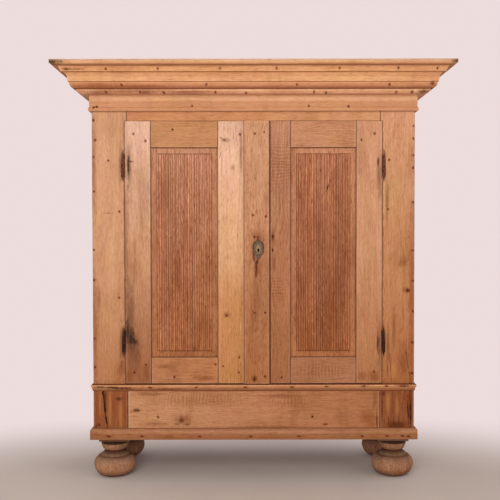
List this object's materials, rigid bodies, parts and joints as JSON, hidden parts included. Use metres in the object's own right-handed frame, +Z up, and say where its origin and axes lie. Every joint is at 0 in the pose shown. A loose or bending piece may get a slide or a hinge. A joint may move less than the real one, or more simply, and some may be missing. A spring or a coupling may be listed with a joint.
{
  "type": "wardrobe",
  "caption": "Freestanding oak wardrobe with hinged panelled doors, a stepped cornice and turned bun feet.",
  "frame": {"origin": "on the floor, under the middle of the whole piece with its cornice", "axes": "+Z up, the doors face -Y, +X to the right as one faces the doors"},
  "size_m": [1.8, 0.695, 1.922],
  "materials": {
    "honey_oak": "dry scrubbed oak, golden, open grain",
    "pale_oak": "dry scrubbed oak, pale, open grain",
    "red_oak": "dry oak, reddish brown, open grain",
    "grey_oak": "weathered grey-brown oak",
    "inner_pine": "plain unfinished inside boards",
    "dark_iron": "dark rusty wrought iron",
    "aged_brass": "dull grey-brown aged brass"
  },
  "bodies": {
    "carcass": {"corner_stile_left": "honey_oak", "corner_stile_right": "honey_oak", "header_rail": "honey_oak", "base_board": "red_oak", "side_left": "honey_oak", "side_right": "honey_oak", "back_board_1": "inner_pine", "back_board_2": "inner_pine", "back_board_3": "inner_pine", "back_board_4": "inner_pine", "floor_board": "inner_pine", "top_board": "inner_pine", "frieze_front": "pale_oak", "frieze_left": "pale_oak", "frieze_right": "pale_oak", "bed_mould_front": "pale_oak", "bed_mould_left": "pale_oak", "bed_mould_right": "pale_oak", "crown_mould_front": "honey_oak", "crown_mould_left": "honey_oak", "crown_mould_right": "honey_oak", "tablet_front": "honey_oak", "tablet_left": "honey_oak", "tablet_right": "honey_oak", "waist_mould_front": "red_oak", "waist_mould_left": "red_oak", "waist_mould_right": "red_oak", "plinth_mould_front": "red_oak", "plinth_mould_left": "red_oak", "plinth_mould_right": "red_oak", "bearer_left": "grey_oak", "bearer_right": "grey_oak", "foot_front_left": "grey_oak", "foot_front_right": "grey_oak", "foot_rear_left": "grey_oak", "foot_rear_right": "grey_oak", "hanging_rail": "inner_pine", "hinge_frame_upper_left": "dark_iron", "hinge_frame_lower_left": "dark_iron", "hinge_frame_upper_right": "dark_iron", "hinge_frame_lower_right": "dark_iron"},
    "left_door": {"left_hinge_stile": "pale_oak", "left_lock_stile": "pale_oak", "left_top_rail": "honey_oak", "left_bottom_rail": "honey_oak", "left_panel": "red_oak", "centre_strip": "honey_oak", "escutcheon": "aged_brass", "lock_case": "dark_iron", "hinge_door_upper_left": "dark_iron", "hinge_door_lower_left": "dark_iron"},
    "right_door": {"right_hinge_stile": "pale_oak", "right_meeting_stile": "red_oak", "right_top_rail": "honey_oak", "right_bottom_rail": "honey_oak", "right_panel": "red_oak", "lock_keeper": "dark_iron", "hinge_door_upper_right": "dark_iron", "hinge_door_lower_right": "dark_iron"},
    "bolt": {"lock_bolt": "dark_iron"}
  },
  "joints": [
    {"name": "left_door_hinge", "type": "hinge", "parent": "carcass", "child": "left_door", "pos_m": [-0.6015, -0.1945, 1.064], "axis": [0, 0, -1], "range_deg": [0, 160]},
    {"name": "right_door_hinge", "type": "hinge", "parent": "carcass", "child": "right_door", "pos_m": [0.6015, -0.1945, 1.064], "axis": [0, 0, 1], "range_deg": [0, 160]},
    {"name": "lock_bolt_slide", "type": "slide", "parent": "left_door", "child": "bolt", "axis": [1, 0, 0], "range_m": [0, 0.018]}
  ]
}
